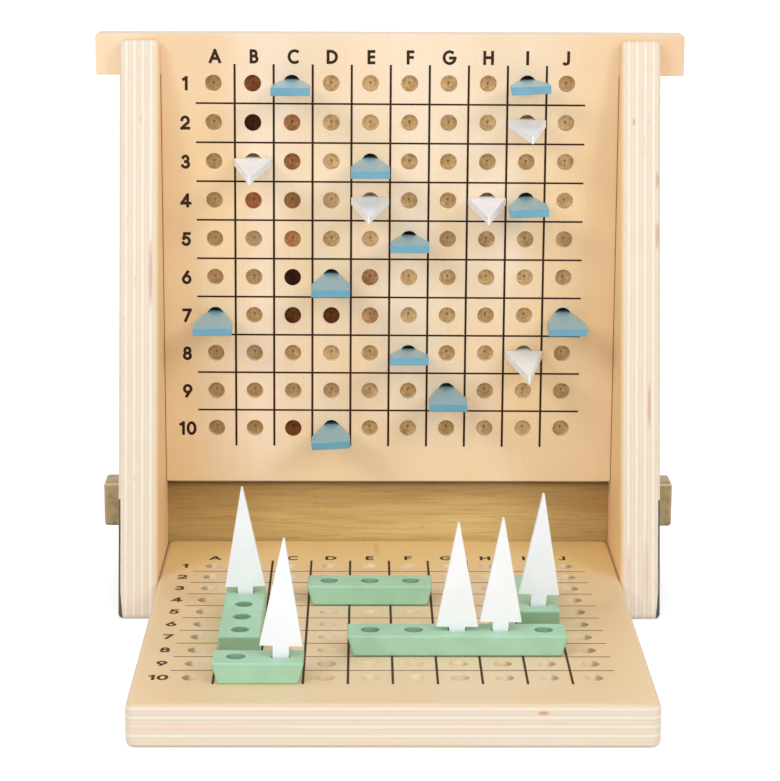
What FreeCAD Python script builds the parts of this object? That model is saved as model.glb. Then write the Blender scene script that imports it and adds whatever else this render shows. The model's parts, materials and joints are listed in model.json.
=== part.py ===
import FreeCAD, Part
import math
import os

# Wooden fleet guessing station: two plywood side panels joined by a through-tenoned rail, a target
# board that hangs between them by its ears, and a loose ocean board that carries the ships.
# Millimetres, +Z up, +X to the player's right, +Y away from the player. The origin is on the table,
# under the middle of the whole object.

# Play grid, drilled alike in both boards
cells = 10
pitch = 15.0
grid_margin = 12.5
socket_diameter = 6.5
socket_depth = 5.0

# Both boards are cut from one thickness of plywood
board_thickness = 15.0

# Target board: row 1 is at the top
target_top_margin = 18.7
target_bottom_margin = 21.5
target_lift = 41.2
ear_height = 15.7
ear_proud = 9.6
target_corner_round = 1.0
target_edge_round = 0.5

# Ocean board: row 1 is at the back
ocean_back_margin = 37.4
ocean_front_margin = 27.9
ocean_corner_round = 3.5
ocean_edge_round = 2.0

# Side panels: leads are how far the sloping front edge stands ahead of the target board's face
panel_thickness = 15.0
panel_top_lead = 5.0
panel_foot_lead = 51.5
panel_back_wood = 13.0
panel_below_target_top = 2.2
panel_edge_round = 2.0

# Cross rail: a through tenon runs along its top
rail_depth = 15.0
rail_setback = 8.0
rail_foot_gap = 4.0
rail_slit = 2.7
tenon_height = 18.0
tenon_proud = 10.4
rail_edge_round = 2.0
rail_end_round = 1.2

# Ships: a hull with raked ends, one socket per cell, and a dowel under each end cell
ship_height = 7.4
ship_beam_gap = 0.4
ship_end_overhang = 0.5
ship_end_rake = 2.0
ship_floor = 2.8
ship_edge_round = 0.7
pin_chamfer = 0.5

# Sails and markers, cut from thin sheet, with a flat stem that fits any socket; both are narrower
# than a cell, so that neighbours clear each other
sheet = 3.0
stem_show = 0.8
sail_cell_gap = 0.5
sail_height = 36.8
sail_tip_width = 0.6
marker_cell_gap = 0.3
marker_shoulder = 0.7
marker_taper = 15.5
marker_straight = 9.5
sheet_edge_round = 0.25

# Clearances
side_gap = 0.15
notch_gap = 0.2
mortise_gap = 0.15
ocean_rail_gap = 0.3
pin_gap = 0.25
pin_end_gap = 1.0
stem_gap = 0.15
stem_end_gap = 0.3

# The fleet: first cell, number of cells, and whether the ship lies along a row or a column
fleet = {
    "ship_five": ("E8", 5, "row"),
    "ship_four": ("B5", 4, "column"),
    "ship_three_row": ("D4", 3, "row"),
    "ship_three_column": ("I4", 3, "column"),
    "ship_two": ("B10", 2, "row"),
}

# Sails in the ships: cell, sideways lean in degrees, to the right, and how far short of the socket's
# floor the sail was pushed in
ship_sails = {
    "B5": (-1.5, 1.2),
    "G8": (0.4, 0.2),
    "H8": (0.8, 1.9),
    "I6": (1.8, 2.8),
    "C10": (1.7, 2.8),
}

# Pegs in the target board: cell, then droop, roll and yaw in degrees
hit_sails = {
    "I2": (3.0, 0.0, 0.0),
    "B3": (3.6, 0.0, 0.0),
    "E4": (3.0, 0.0, -1.0),
    "H4": (3.2, 0.0, -1.3),
    "I8": (4.0, 0.0, 0.0),
}
miss_markers = {
    "C1": (1.5, 0.0, 0.0),
    "I1": (0.0, 3.0, 0.0),
    "E3": (3.5, 0.0, 0.0),
    "I4": (2.5, 2.5, 0.0),
    "F5": (-0.4, 0.0, 0.0),
    "D6": (4.0, 0.0, 0.0),
    "A7": (3.8, 0.0, 0.0),
    "J7": (3.6, 0.0, 0.6),
    "F8": (-4.0, 0.0, 0.0),
    "G9": (2.5, 0.0, 0.0),
    "D10": (2.0, 3.5, 0.0),
}

# Sizes that follow from the ones above
grid_span = (cells - 1) * pitch
board_width = cells * pitch + 2 * grid_margin
target_height = target_top_margin + grid_span + target_bottom_margin
target_top = target_lift + target_height
ear_floor = target_top - ear_height
ocean_length = ocean_back_margin + grid_span + ocean_front_margin
panel_inner_x = board_width / 2 + side_gap
panel_outer_x = panel_inner_x + panel_thickness
panel_height = target_top - panel_below_target_top
panel_rear = rail_setback + rail_depth + panel_back_wood
rail_top = target_lift - rail_slit
ocean_back = rail_setback - ocean_rail_gap
face_y = (ocean_length - ocean_back - panel_rear) / 2
ship_beam = pitch - ship_beam_gap
ship_socket_depth = ship_height - ship_floor
socket_radius = socket_diameter / 2
pin_diameter = socket_diameter - 2 * pin_gap
pin_reach = socket_depth - pin_end_gap
stem_length = socket_depth - stem_end_gap + stem_show
most_droop = max(abs(turns[0]) for turns in [*hit_sails.values(), *miss_markers.values()])
stem_half_height = sheet / 2 + socket_depth / 2 * math.tan(math.radians(most_droop))
stem_corner_reach = socket_radius - stem_gap - sheet_edge_round
stem_corner_height = stem_half_height - sheet_edge_round
stem_width = 2 * (sheet_edge_round + math.sqrt(stem_corner_reach ** 2 - stem_corner_height ** 2))
sail_base = pitch - sail_cell_gap
marker_width = pitch - marker_cell_gap

letters = "ABCDEFGHIJKLMNOPQRSTUVWXYZ"
tolerance = 1e-6
ORIGIN = FreeCAD.Vector(0, 0, 0)
X_AXIS = FreeCAD.Vector(1, 0, 0)
Y_AXIS = FreeCAD.Vector(0, 1, 0)
Z_AXIS = FreeCAD.Vector(0, 0, 1)


def prism(points, along):
    """Closed polygon pushed along a vector."""
    outline = Part.makePolygon(points + points[:1])
    return Part.Face(outline).extrude(along)


def box(low, high):
    size = high - low
    return Part.makeBox(size.x, size.y, size.z, low)


def edges_along(shape, axis):
    """Straight edges of a shape that run along an axis."""
    found = []
    for edge in shape.Edges:
        run = edge.Vertexes[-1].Point - edge.Vertexes[0].Point
        if run.Length > tolerance and run.cross(axis).Length < tolerance:
            found.append(edge)
    return found


def edges_on(shape, axis, level):
    """Edges of a shape that lie wholly in the plane at a level of an axis."""
    found = []
    for edge in shape.Edges:
        low = edge.BoundBox.getPoint(0).dot(axis)
        high = edge.BoundBox.getPoint(6).dot(axis)
        if abs(low - level) < tolerance and abs(high - level) < tolerance:
            found.append(edge)
    return found


def column_x(cell):
    return (letters.index(cell[0]) - (cells - 1) / 2) * pitch


def row_index(cell):
    return int(cell[1:]) - 1


def target_cell(cell):
    """Centre of a target board socket, on the board's face."""
    height = target_top - target_top_margin - row_index(cell) * pitch
    return FreeCAD.Vector(column_x(cell), face_y, height)


def ocean_cell(cell):
    """Centre of an ocean board socket, on the board's top."""
    y = face_y + ocean_back - ocean_back_margin - row_index(cell) * pitch
    return FreeCAD.Vector(column_x(cell), y, board_thickness)


def drilled(blank, mouth_of, inward):
    """Blank with the whole grid of blind sockets drilled into it."""
    drills = []
    for column in letters[:cells]:
        for row in range(1, cells + 1):
            mouth = mouth_of(f"{column}{row}")
            drills.append(Part.makeCylinder(socket_radius, socket_depth, mouth, inward))
    return blank.cut(Part.makeCompound(drills))


def side_panel(side):
    """Panel with a sloping front edge, an open notch for the ear and a mortise for the tenon."""
    inner_x = side * panel_inner_x
    profile = [
        FreeCAD.Vector(inner_x, face_y - panel_foot_lead, 0),
        FreeCAD.Vector(inner_x, face_y + panel_rear, 0),
        FreeCAD.Vector(inner_x, face_y + panel_rear, panel_height),
        FreeCAD.Vector(inner_x, face_y - panel_top_lead, panel_height),
    ]
    blank = prism(profile, X_AXIS * side * panel_thickness)
    blank = blank.makeFillet(panel_edge_round, blank.Edges)
    notch = box(
        FreeCAD.Vector(-panel_outer_x, face_y - notch_gap, ear_floor),
        FreeCAD.Vector(panel_outer_x, face_y + board_thickness + notch_gap, target_top),
    )
    return blank.cut(notch).cut(tenon_bar(mortise_gap, panel_outer_x))


def tenon_bar(growth, half_length):
    """Rounded bar of the tenon's section, grown on every side for the mortise."""
    low = FreeCAD.Vector(-half_length, face_y + rail_setback - growth, rail_top - tenon_height - growth)
    high = FreeCAD.Vector(half_length, face_y + rail_setback + rail_depth + growth, rail_top + growth)
    bar = box(low, high)
    return bar.makeFillet(rail_edge_round + growth, edges_along(bar, X_AXIS))


def cross_rail():
    """Deep rail between the panels, with a tenon bar that runs through both of them."""
    half_length = panel_outer_x + tenon_proud
    bar = tenon_bar(0, half_length)
    ends = edges_on(bar, X_AXIS, half_length) + edges_on(bar, X_AXIS, -half_length)
    bar = bar.makeFillet(rail_end_round, ends)
    shoulder_x = panel_inner_x - mortise_gap
    web = box(
        FreeCAD.Vector(-shoulder_x, face_y + rail_setback, rail_foot_gap),
        FreeCAD.Vector(shoulder_x, face_y + rail_setback + rail_depth, rail_top),
    )
    web = web.makeFillet(rail_edge_round, edges_along(web, X_AXIS))
    return bar.fuse(web).removeSplitter()


def target_board():
    """Upright T-shaped board: its two ears hang in the panels' notches."""
    half = board_width / 2
    ear_x = panel_outer_x + ear_proud
    outline = [
        (-half, target_lift), (half, target_lift), (half, ear_floor), (ear_x, ear_floor),
        (ear_x, target_top), (-ear_x, target_top), (-ear_x, ear_floor), (-half, ear_floor),
    ]
    points = [FreeCAD.Vector(x, face_y, z) for x, z in outline]
    blank = prism(points, Y_AXIS * board_thickness)
    corners = []
    for edge in edges_along(blank, Y_AXIS):
        place = edge.Vertexes[0].Point
        if abs(place.z - ear_floor) > tolerance or abs(abs(place.x) - ear_x) < tolerance:
            corners.append(edge)
    blank = blank.makeFillet(target_corner_round, corners)
    rims = edges_on(blank, Y_AXIS, face_y) + edges_on(blank, Y_AXIS, face_y + board_thickness)
    blank = blank.makeFillet(target_edge_round, rims)
    return drilled(blank, target_cell, Y_AXIS)


def ocean_board():
    """Flat board that slides in between the side panels, up to the rail."""
    back_y = face_y + ocean_back
    blank = box(
        FreeCAD.Vector(-board_width / 2, back_y - ocean_length, 0),
        FreeCAD.Vector(board_width / 2, back_y, board_thickness),
    )
    blank = blank.makeFillet(ocean_corner_round, edges_along(blank, Z_AXIS))
    rims = edges_on(blank, Z_AXIS, 0) + edges_on(blank, Z_AXIS, board_thickness)
    blank = blank.makeFillet(ocean_edge_round, rims)
    return drilled(blank, ocean_cell, -Z_AXIS)


def ship_cells(first, count, lie):
    """Names of the cells that a ship covers."""
    if lie == "row":
        start = letters.index(first[0])
        return [letters[start + step] + first[1:] for step in range(count)]
    return [f"{first[0]}{row_index(first) + 1 + step}" for step in range(count)]


def ship(first, count, lie):
    """Hull with raked ends and a blind socket over each cell, bored through at both end cells."""
    covered = ship_cells(first, count, lie)
    middle = (ocean_cell(covered[0]) + ocean_cell(covered[-1])) * 0.5
    half_top = count * pitch / 2 + ship_end_overhang
    half_foot = half_top - ship_end_rake
    half_beam = ship_beam / 2
    outline = [(-half_foot, 0), (half_foot, 0), (half_top, ship_height), (-half_top, ship_height)]
    hull = prism([FreeCAD.Vector(x, -half_beam, z) for x, z in outline], Y_AXIS * ship_beam)
    hull = hull.makeFillet(ship_edge_round, hull.Edges)
    if lie == "column":
        hull.rotate(ORIGIN, Z_AXIS, 90)
    hull.translate(middle)
    for cell in covered:
        mouth = ocean_cell(cell) + Z_AXIS * ship_height
        depth = ship_height if cell in (covered[0], covered[-1]) else ship_socket_depth
        hull = hull.cut(Part.makeCylinder(socket_radius, depth, mouth, -Z_AXIS))
    return hull


def ship_pins(first, count, lie):
    """The two dowels glued into a ship's end cells: they stand in the ocean board's sockets."""
    covered = ship_cells(first, count, lie)
    length = ship_height - ship_socket_depth + pin_reach
    pins = []
    for cell in (covered[0], covered[-1]):
        pin = Part.makeCylinder(pin_diameter / 2, length, ocean_cell(cell) - Z_AXIS * pin_reach, Z_AXIS)
        tip = edges_on(pin, Z_AXIS, board_thickness - pin_reach)
        pins.append(pin.makeChamfer(pin_chamfer, tip))
    return Part.makeCompound(pins)


def sheet_piece(half_outline):
    """Symmetrical flat piece with its stem: the stem points down, the shoulder is at the origin."""
    stem_half = stem_width / 2
    right = [(stem_half, -stem_length), (stem_half, 0)] + half_outline
    left = [(-x, z) for x, z in reversed(right)]
    points = [FreeCAD.Vector(x, -sheet / 2, z) for x, z in right + left]
    return prism(points, Y_AXIS * sheet)


def eased(piece):
    """Piece with the edges round its two flat sides eased."""
    rims = edges_on(piece, Y_AXIS, -sheet / 2) + edges_on(piece, Y_AXIS, sheet / 2)
    return piece.makeFillet(sheet_edge_round, rims)


def sail():
    """Tall triangle on a stem, with a narrow blunt tip."""
    return eased(sheet_piece([(sail_base / 2, 0), (sail_tip_width / 2, sail_height)]))


def marker():
    """Paddle on a stem: it widens from its neck, then runs straight to a flat end."""
    neck = stem_width / 2 + marker_shoulder
    side = marker_width / 2
    return eased(sheet_piece([(neck, 0), (side, marker_taper), (side, marker_taper + marker_straight)]))


def standing(piece, cell, lean, short):
    """Piece standing in a ship's socket, short of its floor, leaning about the middle of its grip."""
    grip = ship_socket_depth - stem_end_gap - short
    placed = piece.copy()
    placed.translate(Z_AXIS * (stem_length - grip / 2))
    placed.rotate(ORIGIN, Y_AXIS, lean)
    placed.translate(ocean_cell(cell) + Z_AXIS * (ship_height - grip / 2))
    return placed


def pegged(piece, cell, droop, roll, yaw):
    """Piece lying flat in a target board socket, pointing at the player."""
    placed = piece.copy()
    placed.translate(Z_AXIS * (stem_length - socket_depth / 2 + stem_end_gap))
    placed.rotate(ORIGIN, X_AXIS, 90)
    placed.rotate(ORIGIN, Y_AXIS, -roll)
    placed.rotate(ORIGIN, X_AXIS, droop)
    placed.rotate(ORIGIN, Z_AXIS, yaw)
    placed.translate(target_cell(cell) + Y_AXIS * socket_depth / 2)
    return placed


def build():
    """Every piece by its node's name."""
    nodes = {
        "left_side_panel": side_panel(-1),
        "right_side_panel": side_panel(1),
        "cross_rail": cross_rail(),
        "target_board": target_board(),
        "ocean_board": ocean_board(),
    }
    for name, (first, count, lie) in fleet.items():
        nodes[name] = ship(first, count, lie)
        nodes[f"{name}_pins"] = ship_pins(first, count, lie)
    one_sail = sail()
    one_marker = marker()
    for cell, pose in ship_sails.items():
        nodes[f"sail_{cell.lower()}"] = standing(one_sail, cell, *pose)
    for cell, turns in hit_sails.items():
        nodes[f"hit_sail_{cell.lower()}"] = pegged(one_sail, cell, *turns)
    for cell, turns in miss_markers.items():
        nodes[f"miss_marker_{cell.lower()}"] = pegged(one_marker, cell, *turns)
    return nodes


os.makedirs("parts", exist_ok=True)
for node, shape in build().items():
    shape.exportStep(f"parts/{node}.step")
    size = shape.BoundBox
    print(f"{node}: {len(shape.Solids)} solid(s), valid {shape.isValid()}, volume {shape.Volume:.1f}, "
          f"{size.XLength:.1f} x {size.YLength:.1f} x {size.ZLength:.1f}")
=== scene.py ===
import json
import math
import bmesh
import bpy
from mathutils import Matrix, Vector


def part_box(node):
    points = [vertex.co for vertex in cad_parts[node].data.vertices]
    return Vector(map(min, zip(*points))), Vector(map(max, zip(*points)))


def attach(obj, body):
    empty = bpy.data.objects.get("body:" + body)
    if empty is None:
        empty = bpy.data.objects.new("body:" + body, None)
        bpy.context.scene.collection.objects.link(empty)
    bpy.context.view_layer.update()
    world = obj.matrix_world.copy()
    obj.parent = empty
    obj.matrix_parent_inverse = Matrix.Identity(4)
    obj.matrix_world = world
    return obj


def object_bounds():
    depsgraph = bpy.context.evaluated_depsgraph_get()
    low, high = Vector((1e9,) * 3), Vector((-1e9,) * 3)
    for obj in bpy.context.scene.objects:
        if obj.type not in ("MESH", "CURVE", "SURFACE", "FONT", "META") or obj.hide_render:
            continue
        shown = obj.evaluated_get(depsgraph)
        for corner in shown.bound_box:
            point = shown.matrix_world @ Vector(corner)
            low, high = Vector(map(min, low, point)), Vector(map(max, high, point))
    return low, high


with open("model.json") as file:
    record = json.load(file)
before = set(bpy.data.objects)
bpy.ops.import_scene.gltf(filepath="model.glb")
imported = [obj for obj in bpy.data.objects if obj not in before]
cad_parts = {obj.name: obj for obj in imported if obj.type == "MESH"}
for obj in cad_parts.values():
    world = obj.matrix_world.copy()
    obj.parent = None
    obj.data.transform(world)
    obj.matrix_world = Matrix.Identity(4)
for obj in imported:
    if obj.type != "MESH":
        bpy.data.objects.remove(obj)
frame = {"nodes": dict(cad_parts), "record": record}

# Looks of the wooden fleet guessing station. Metres, +Z up, +X to the player's right, +Y away from
# the player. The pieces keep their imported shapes: this script gives them their woods and paints, and
# adds the burnt grid, letters and numbers, and the floors and linings of the sockets.
cad_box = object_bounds()

# Play grid, drilled and marked alike on both boards
COLUMNS = "ABCDEFGHIJ"
CELLS = len(COLUMNS)
EVERY_CELL = [f"{column}{row + 1}" for column in COLUMNS for row in range(CELLS)]
PITCH = 0.015
MIDDLE = (CELLS - 1) / 2
mounts = {mount["name"]: mount for mount in frame["record"]["mounts"]}
SOCKET_RADIUS = mounts["target_socket"]["dims"]["r_mm"] / 1000
SOCKET_DEPTH = mounts["target_socket"]["dims"]["length_mm"] / 1000

# Burnt markings: how far they stand out of the wood and how deep they are rooted in it
MARK_PROUD = 0.00002
MARK_ROOT = 0.00008
MARK_STEP = 0.000004
UPRIGHT_LINE = 0.00086
LEVEL_LINE = {"target": 0.00070, "ocean": 0.00055}
LINE_TAIL = 0.0006
CAP_HEIGHT = 0.0054
STROKE = 0.21
GLYPH_GAP = 0.42
RING_STEPS = 24
LETTER_RISE = {"target": 0.0104, "ocean": 0.0111}
NUMBER_X = {"target": 0.0116, "ocean": 0.0110}

# Darker and lighter tint of the burnt lines, and how much lighter the fast runs of the beam are
BURNT = {"target": ((42, 27, 17), (62, 41, 26)), "ocean": ((62, 45, 30), (84, 63, 43))}
FAST_RUN = 1.2
FAST_RUN_SHARE = 0.4

# The marks sit a little turned, narrowed and shifted on the target board's drilled grid
PRINT_TURN = math.radians(0.2)
PRINT_SPREAD = 0.993
PRINT_DROP = 0.0004

# Socket floors and linings, with the brad-point pit and ring that the drill left, and a dark line down from
# the pit
FLOOR_CLEAR = 0.00003
FLOOR_RAISE = 0.0006
LINING = 0.00006
MOUTH_CLEAR = 0.0001
PIT_RADIUS = 0.00036
PIT_DEPTH = 0.0005
PIT_SOFT = 0.0003
RING_RADIUS = 0.0021
RING_SOFT = (0.0007, 0.0001)
DOWNLINE_LENGTH = 0.0024
DOWNLINE_HALF = 0.00022
DOWNLINE_BEND = 0.0012
LATHE_STEPS = 28

# Socket wood: tints of the free floors, how far each socket has its own tone, how dark the pit, ring and
# line below the pit are and how strongly each shows, and the painted shade of the left side panel, darker
# and browner, on free floors towards column A
SOCKET_FLOOR = ((233, 203, 155), (208, 175, 127))
OWN_TONE = 0.4
DRILL_DARK = 0.55
RING_SHOWS = 0.28
PIT_SHOWS = 0.50
DOWNLINE_SHOWS = 0.32
SHADED_COLUMNS = (3.0, 0.0)
PANEL_SHADE_FLOOR = (0.50, (168, 127, 78))

# Sockets of the target board that heat has browned: cells, lighter and darker tint
BROWNED = {
    "charred": (["B2", "C6"], (98, 42, 13), (66, 28, 9)),
    "umber": (["C7", "D7"], (146, 90, 41), (112, 65, 27)),
    "chestnut": (["C10"], (166, 104, 51), (133, 79, 36)),
    "rust": (["B1"], (193, 125, 65), (158, 96, 47)),
    "scorched": (["B4"], (224, 160, 106), (198, 133, 83)),
    "toasted": (["C2", "C3", "C4", "C5"], (221, 172, 117), (192, 140, 87)),
    "tanned": (["E6", "E7"], (234, 196, 147), (207, 160, 111)),
}

# Linings of painted shade in the sockets that hold pegs, near-black under the miss markers and light tan
# under the hit sails: lighter and darker tint
PEG_SOCKET_SHADE = {"miss_marker_": ((78, 64, 46), (50, 40, 28)), "hit_sail_": ((238, 210, 168), (210, 178, 134))}

# Finishes: roughness and specular level, and the roughness of the plies on a board's edges
PANEL_VARNISH = (0.52, 0.32)
BOARD_VARNISH = (0.42, 0.45)
RAIL_OIL = (0.48, 0.36)
GLOSS_PAINT = (0.30, 0.55)
MATT_PAINT = (0.45, 0.40)
DOWEL_PAINT = (0.60, 0.30)
CHARRED_WOOD = (0.80, 0.20)
DRILLED_WOOD = (0.70, 0.25)
RAW_ROUGHNESS = 0.75

# Height of the finest relief on each kind of surface
PLYWOOD_RELIEF = 0.00003
RAIL_RELIEF = 0.00004
PAINT_RELIEF = 0.00002
BURNT_RELIEF = 0.00002
FLOOR_RELIEF = 0.00005

# Raggedness of a stained patch's outline, and where the patch ends and is full
PATCH_RAGGED = 0.8
PATCH_FADE = (1.4, 0.45)

# Noise: how its shift goes along X, Y and Z, and its roughness
NOISE_SHIFT = (1.0, 1.7, 2.3)
NOISE_ROUGHNESS = 0.55

# Plywood: a thin pale ply every period, from the middle of the sheet, between thicker greyer ones
PLY_PERIOD = 0.0031
PLY_WANDER = 0.0004
PALE_HALF = 0.16
PLY_SOFT = 0.06
PALE_PLY = (240, 229, 212)
GREY_PLY = (227, 213, 193)
PINK_PLY = (229, 209, 187)
OUTER_PLY = 0.0016
FACE_SKIN = 0.0003
EASED_SKIN = 0.0014

# Tints on the plywood, painted shade on the edges that face upwards among them: strength, and the screen
# colour that they move the wood towards
PLY_SEAM = (0.45, PALE_PLY)
PALE_LAYER = (0.92, PALE_PLY)
PLY_FIBRE = (0.26, (228, 206, 178))
PLY_DASH = (0.40, (206, 164, 128))
OUTER_LAYER = (0.85, (227, 205, 176))
UP_EDGE_SHADE = (0.25, (212, 186, 160))
VENEER_FIBRE = (0.07, (206, 162, 108))
VENEER_PORE = (0.12, (168, 122, 76))
WALL_FIBRE = (0.25, (220, 190, 150))
RIM_CHIP = (0.55, (252, 238, 212))

# Panels: veneer, then the dark coat on their outer faces: tints, top, how far it turns the rounded edge,
# more at the foot, how much its outline wavers and how soft it is
PANEL_VENEER = ((250, 217, 171), (246, 210, 162))
COAT_TINTS = ((60, 64, 58), (76, 80, 72))
COAT_TOP = 0.0445
COAT_TURN = 0.0007
COAT_FOOT_TURN = 0.0015
COAT_FOOT_HEIGHT = 0.012
COAT_SIDE_WAVER = 0.0003
COAT_TOP_WAVER = 0.0005
COAT_SIDE_SOFT = 0.0001
COAT_TOP_SOFT = 0.0003

# Resin streaks on the panels' front edges: depth from the inner face, height, half width, half length
# and strength
STREAK_TINT = (196, 146, 112)
STREAKS = {
    "left_side_panel": [(0.0029, 0.128, 0.0009, 0.016, 0.6)],
    "right_side_panel": [
        (0.0047, 0.1846, 0.0007, 0.0018, 0.6), (0.0107, 0.0796, 0.0008, 0.0100, 0.6),
        (0.0137, 0.1425, 0.0011, 0.0060, 0.6), (0.0137, 0.1630, 0.0010, 0.0042, 0.6),
        (0.0030, 0.0180, 0.0010, 0.0120, 0.3), (0.0095, 0.0170, 0.0014, 0.0180, 0.25),
    ],
}

# Boards: veneer, with painted shade, warmer and darker, towards the side panels but none on the ears
TARGET_VENEER = ((245, 223, 197), (239, 207, 162))
OCEAN_VENEER = ((232, 207, 171), (229, 200, 156))
MARGIN_SHADE = (0.045, 0.088)
MARGIN_SHADE_SHARE = 0.5
UNSHADED_EARS = (0.1, 0.09)

# Drilled walls of the boards' sockets: tints, painted shade on the outer ends of the walls on the ocean
# board, how softly the walls meet the face and the grid its margin, and the chipped rims
RAW_WALL = (252, 238, 208)
RAW_WALL_DEEP = (246, 228, 195)
SHADED_WALL_END = (-0.004, -0.035)
WALL_SHADE_TINT = (116, 80, 48)
OCEAN_WALL_SHADE = 0.5
WALL_SOFT = 0.0002
MOUTH_SOFT = 0.00005
GRID_FADE = (0.0012, 0.0002)
RIM_WIDTH = 0.0006
CHIP_DEPTH = 1.5

# Patches on the boards, painted light and shade among them: middle and half size along some axes, strength
# and tint
TARGET_FACE_LIGHT_AND_SHADE = [
    # painted shade: a band along the top
    ({"Z": (0.2180, 0.0500)}, 0.40, (236, 210, 182)),
    # painted shadow of the left side panel
    ({"X": (-0.0760, 0.0260), "Z": (0.1850, 0.0700)}, 0.36, (226, 188, 140)),
    # painted shadow of the right side panel
    ({"X": (0.0860, 0.0220), "Z": (0.1900, 0.0600)}, 0.28, (226, 188, 140)),
    # painted light at the lower right
    ({"X": (0.0860, 0.0400), "Z": (0.0450, 0.0600)}, 0.45, (250, 230, 200)),
    # painted light at the lower middle
    ({"X": (0.0000, 0.0620), "Z": (0.0440, 0.0240)}, 0.50, (252, 226, 180)),
    # darker patch on the right ear
    ({"X": (0.1080, 0.0090), "Z": (0.2100, 0.0200)}, 0.55, (224, 182, 140)),
]
OCEAN_FACE_BOUNCE_AND_STREAK = [
    # painted light: warm bounce from the rail and panels along the back
    ({"Y": (0.0900, 0.0600)}, 0.46, (250, 214, 124)),
    # orange streak near the letter E
    ({"X": (-0.0047, 0.0014), "Y": (0.0730, 0.0120)}, 0.45, (222, 160, 98)),
]
OCEAN_EDGE_MARKS = [
    ({"X": (0.0488, 0.0052), "Z": (0.0121, 0.0014)}, 0.55, (238, 208, 172)),
    ({"X": (0.0488, 0.0024), "Z": (0.0122, 0.0009)}, 0.75, (198, 142, 96)),
    ({"X": (-0.0640, 0.0420), "Z": (0.0070, 0.0014)}, 0.55, (236, 204, 176)),
    ({"X": (0.0020, 0.0300), "Z": (0.0014, 0.0012)}, 0.40, (238, 210, 182)),
]

# Rail: its two tones, where painted shade darkens it towards the side panels and where its tenon ends
# start, the depth of its upper band of painted shade, the soft edge of the painted shade on its top under
# the target board, and its tints, with painted reflection on the tenon tops and painted highlight on their
# arrises
RAIL_WOOD = ((222, 196, 136), (199, 167, 104))
SHADED_RAIL_ENDS = (0.035, 0.085)
TENON_START = (0.0985, 0.1025)
UPPER_SHADE_BAND = (0.014, 0.004)
BOARD_SHADE = 0.001
RAIL_FIBRE = (0.36, (154, 122, 68))
RAIL_FIDDLE = (0.12, (228, 200, 142))
RAIL_END_SHADE = (0.45, (149, 112, 54))
RAIL_PORE = (0.40, (112, 80, 42))
RAIL_UPPER_SHADE = (0.22, (140, 104, 68))
RAIL_UNDER_BOARD = (0.60, (84, 58, 28))
TENON_WOOD = (0.75, (196, 172, 132))
TENON_BLOTCH = (0.45, (138, 108, 68))
TENON_TOP_REFLECTION = (0.60, (136, 116, 86))
TENON_ARRIS_HIGHLIGHT = (0.60, (246, 226, 176))

# Paints and stains of the pieces: lighter and deeper tint, then where they gather in the end grain, the
# painted sheen on the markers' upper faces and the painted shade in the ships' sockets
WHITE_PAINT = ((245, 248, 251), (240, 243, 247))
BLUE_PAINT = ((103, 163, 185), (95, 155, 177))
GREEN_STAIN = ((170, 213, 183), (161, 205, 174))
PAINTED_DOWEL = ((140, 178, 150), (124, 162, 135))
BEECH = ((228, 194, 148), (202, 160, 112))
PAINT_ON_GRAIN = 0.30
PAINT_GRIT = 0.5
BLUE_TOP_SHEEN = (0.40, (166, 200, 210))
GREEN_END_GRAIN = (0.37, (112, 150, 112))
GREEN_SOCKET_SHADE = (0.30, (84, 122, 94))
BORE_SOFT = (0.0003, 0.0001)
DECK_SOFT = (0.0001, 0.0005)
DOWEL_PAINT_EDGE = 0.0002

# Camera, fitted to the two grids: place, then pitch down, yaw to the right and roll, in degrees
CAMERA_PLACE = Vector((-0.00998, -0.92396, 0.29447))
CAMERA_PITCH = 12.197
CAMERA_YAW = 0.594
CAMERA_ROLL = -0.227
FOCAL_PIXELS = 2619.57
IMAGE_WIDTH = 780
SENSOR = 36.0

# Floor and surroundings
WHITE = (1.0, 1.0, 1.0, 1.0)
FLOOR_TONE = (0.8, 0.8, 0.8, 1.0)
FLOOR_DROP = 0.0001
FLOOR_RADIUS = 4.0
FLOOR_SIDES = 64
FLOOR_GLOW = 0.5
GLOW_FADE = (0.35, 0.75)
SKY_LIGHT = 0.56

# Softboxes: place, size across in metres and power in watts, all turned to one point of the object
LIGHT_AIM = Vector((0, 0, 0.09))
SOFTBOXES = {
    "front_softbox": (Vector((0.0, -1.45, 0.55)), 1.0, 2.6),
    "top_softbox": (Vector((0.0, -0.45, 1.35)), 0.9, 2.2),
    "left_softbox": (Vector((-0.9, -0.9, 0.9)), 0.6, 5.5),
    "right_softbox": (Vector((0.9, -0.9, 0.9)), 0.6, 5.5),
    "rear_softbox": (Vector((0.0, 1.3, 0.8)), 1.0, 3.0),
}

# Sockets of Blender's mix node: the two inputs and the output for colours, and for plain numbers
MIX_COLOURS = (6, 7, 2)
MIX_NUMBERS = (2, 3, 0)


def tint(red, green, blue):
    """Linear colour of an 8-bit screen colour."""
    channels = []
    for value in (red, green, blue):
        share = value / 255
        channels.append(share / 12.92 if share <= 0.04045 else ((share + 0.055) / 1.055) ** 2.4)
    return (*channels, 1.0)


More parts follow.
